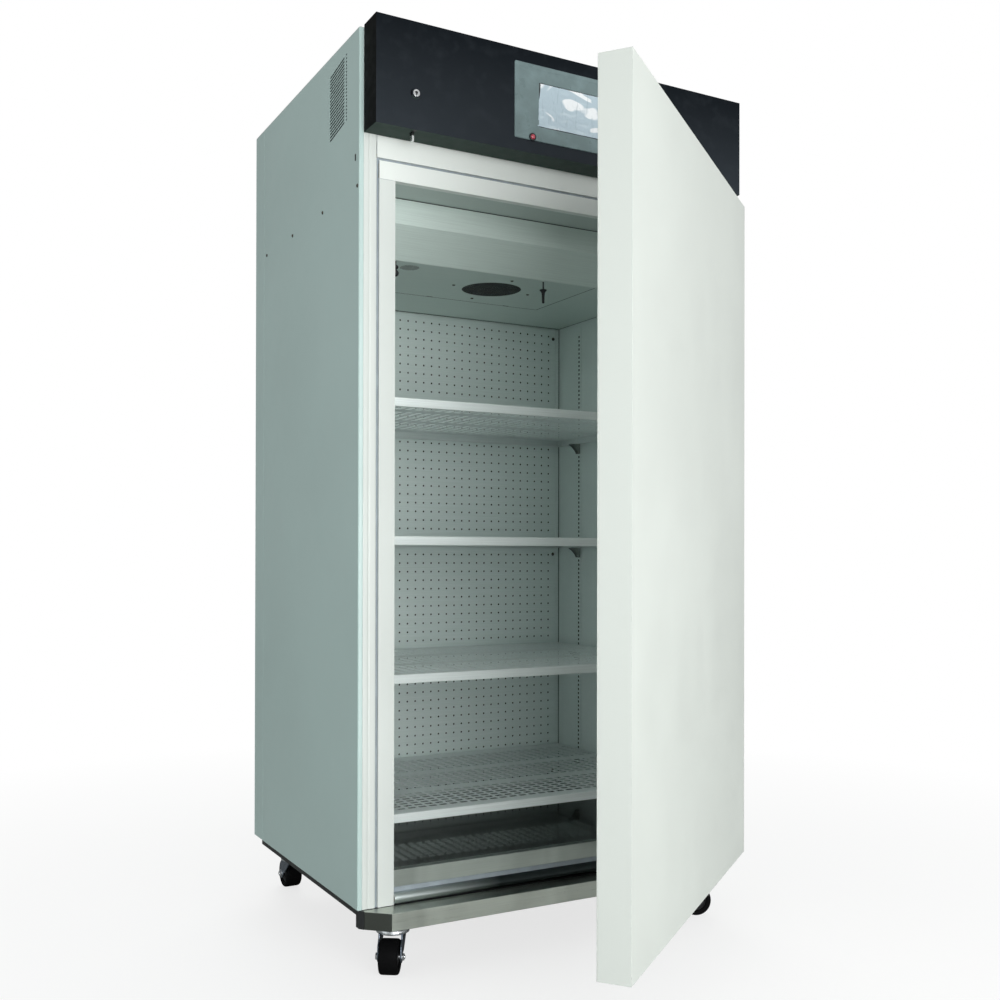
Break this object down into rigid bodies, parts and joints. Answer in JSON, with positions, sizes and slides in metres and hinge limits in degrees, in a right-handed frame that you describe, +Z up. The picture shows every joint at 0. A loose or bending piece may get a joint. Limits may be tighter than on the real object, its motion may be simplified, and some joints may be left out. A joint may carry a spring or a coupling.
{
  "type": "laboratory incubator",
  "caption": "Upright insulated lab incubator on swivel casters: hinged door, top console with display and key lock, perforated duct panel, ceiling fan and slotted shelves.",
  "frame": {"origin": "middle of the base pan's underside, midway between the cabinet's front and back; the floor is 157.5 mm below it", "axes": "+X to the right seen from the front, +Y towards the back, +Z up; the door is on the -Y side"},
  "size_m": [1.0549, 1.5035, 2.124],
  "materials": {
    "white_enamel": "satin white powder coat",
    "grey_enamel": "satin pale grey-green powder coat",
    "stainless": "fine brushed stainless steel",
    "dark_steel": "dark gloss coated steel",
    "zinc_steel": "bright zinc plate",
    "aluminium": "plain aluminium fin stock",
    "black_paint": "satin black paint",
    "black_plastic": "moulded black plastic",
    "console_black": "satin blue-black coat",
    "bezel_grey": "smooth grey display frame",
    "screen": "unlit display under clear protective film",
    "red_lens": "red indicator lens",
    "grey_gasket": "soft grey extrusion",
    "foam": "foamed-in-place insulation",
    "black_tyre": "hard black rubber tread"
  },
  "bodies": {
    "cabinet": {"left_side_panel": "grey_enamel", "right_side_panel": "grey_enamel", "rear_cover": "grey_enamel", "top_panel": "white_enamel", "left_front_stile": "white_enamel", "right_front_stile": "white_enamel", "header_panel": "white_enamel", "inner_header": "white_enamel", "left_inner_stile": "white_enamel", "right_inner_stile": "white_enamel", "thermal_break": "grey_gasket", "base_pan": "black_paint", "bumper": "stainless", "sill_band": "stainless", "sill_trim": "dark_steel", "cabinet_insulation": "foam", "inner_liner": "stainless", "liner_floor": "dark_steel", "rear_duct_panel": "stainless", "plenum_cover": "stainless", "fan_panel": "stainless", "fan_grille": "black_paint", "fan_motor": "zinc_steel", "evaporator_coil": "aluminium", "heater_element": "zinc_steel", "temperature_probe": "black_plastic", "humidity_probe": "black_plastic", "pilaster_left_front": "stainless", "pilaster_left_rear": "stainless", "pilaster_right_front": "stainless", "pilaster_right_rear": "stainless", "shelf_1": "stainless", "shelf_2": "stainless", "shelf_3": "stainless", "shelf_4": "stainless", "machine_deck": "zinc_steel", "compressor": "black_paint", "condenser_coil": "aluminium", "console_cover": "console_black", "display_bezel": "bezel_grey", "display_screen": "screen", "status_lamp": "red_lens", "top_hinge": "zinc_steel", "bottom_hinge": "zinc_steel"},
    "door": {"door_outer_skin": "white_enamel", "door_inner_panel": "white_enamel", "door_insulation": "foam", "door_gasket": "grey_gasket"},
    "lock": {"lock_plug": "zinc_steel"},
    "latch": {"latch_bolt": "zinc_steel"},
    "circulation_rotor": {"circulation_fan": "black_plastic"},
    "condenser_rotor": {"condenser_fan": "black_plastic"},
    "swivel_fl": {"caster_fork_fl": "zinc_steel"},
    "swivel_fr": {"caster_fork_fr": "zinc_steel"},
    "swivel_rl": {"caster_fork_rl": "zinc_steel"},
    "swivel_rr": {"caster_fork_rr": "zinc_steel"},
    "wheel_fl": {"caster_wheel_fl": "black_tyre"},
    "wheel_fr": {"caster_wheel_fr": "black_tyre"},
    "wheel_rl": {"caster_wheel_rl": "black_tyre"},
    "wheel_rr": {"caster_wheel_rr": "black_tyre"}
  },
  "joints": [
    {"name": "door_hinge", "type": "hinge", "parent": "cabinet", "child": "door", "pos_m": [0.502, -0.427, 0.86], "axis": [0, 0, 1], "range_deg": [-37.7, 82.3]},
    {"name": "lock_turn", "type": "hinge", "parent": "cabinet", "child": "lock", "pos_m": [-0.415, -0.458, 1.8065], "axis": [0, -1, 0], "range_deg": [0, 90]},
    {"name": "latch_slide", "type": "slide", "parent": "cabinet", "child": "latch", "axis": [0, 0, -1], "range_m": [0, 0.014]},
    {"name": "circulation_fan_spin", "type": "hinge", "parent": "cabinet", "child": "circulation_rotor", "pos_m": [-0.008, -0.058, 1.5275], "axis": [0, 0, 1], "continuous": true},
    {"name": "condenser_fan_spin", "type": "hinge", "parent": "cabinet", "child": "condenser_rotor", "pos_m": [-0.421, -0.262, 1.8325], "axis": [1, 0, 0], "continuous": true},
    {"name": "caster_fl_swivel", "type": "hinge", "parent": "cabinet", "child": "swivel_fl", "pos_m": [-0.413, -0.338, -0.067], "axis": [0, 0, 1], "continuous": true},
    {"name": "caster_fr_swivel", "type": "hinge", "parent": "cabinet", "child": "swivel_fr", "pos_m": [0.413, -0.338, -0.067], "axis": [0, 0, 1], "continuous": true},
    {"name": "caster_rl_swivel", "type": "hinge", "parent": "cabinet", "child": "swivel_rl", "pos_m": [-0.413, 0.356, -0.067], "axis": [0, 0, 1], "continuous": true},
    {"name": "caster_rr_swivel", "type": "hinge", "parent": "cabinet", "child": "swivel_rr", "pos_m": [0.413, 0.356, -0.067], "axis": [0, 0, 1], "continuous": true},
    {"name": "wheel_fl_spin", "type": "hinge", "parent": "swivel_fl", "child": "wheel_fl", "pos_m": [-0.4337, -0.36987, -0.11784], "axis": [-0.8387, 0.5446, 0], "continuous": true},
    {"name": "wheel_fr_spin", "type": "hinge", "parent": "swivel_fr", "child": "wheel_fr", "pos_m": [0.44624, -0.35642, -0.11784], "axis": [-0.4848, -0.8746, 0], "continuous": true},
    {"name": "wheel_rl_spin", "type": "hinge", "parent": "swivel_rl", "child": "wheel_rl", "pos_m": [-0.413, 0.394, -0.11784], "axis": [1, 0, 0], "continuous": true},
    {"name": "wheel_rr_spin", "type": "hinge", "parent": "swivel_rr", "child": "wheel_rr", "pos_m": [0.426, 0.39171, -0.11784], "axis": [0.9397, -0.342, 0], "continuous": true}
  ],
  "couplings": [
    {"joint": "lock_turn", "follows": "latch_slide", "rad_per_m": 112.19}
  ]
}
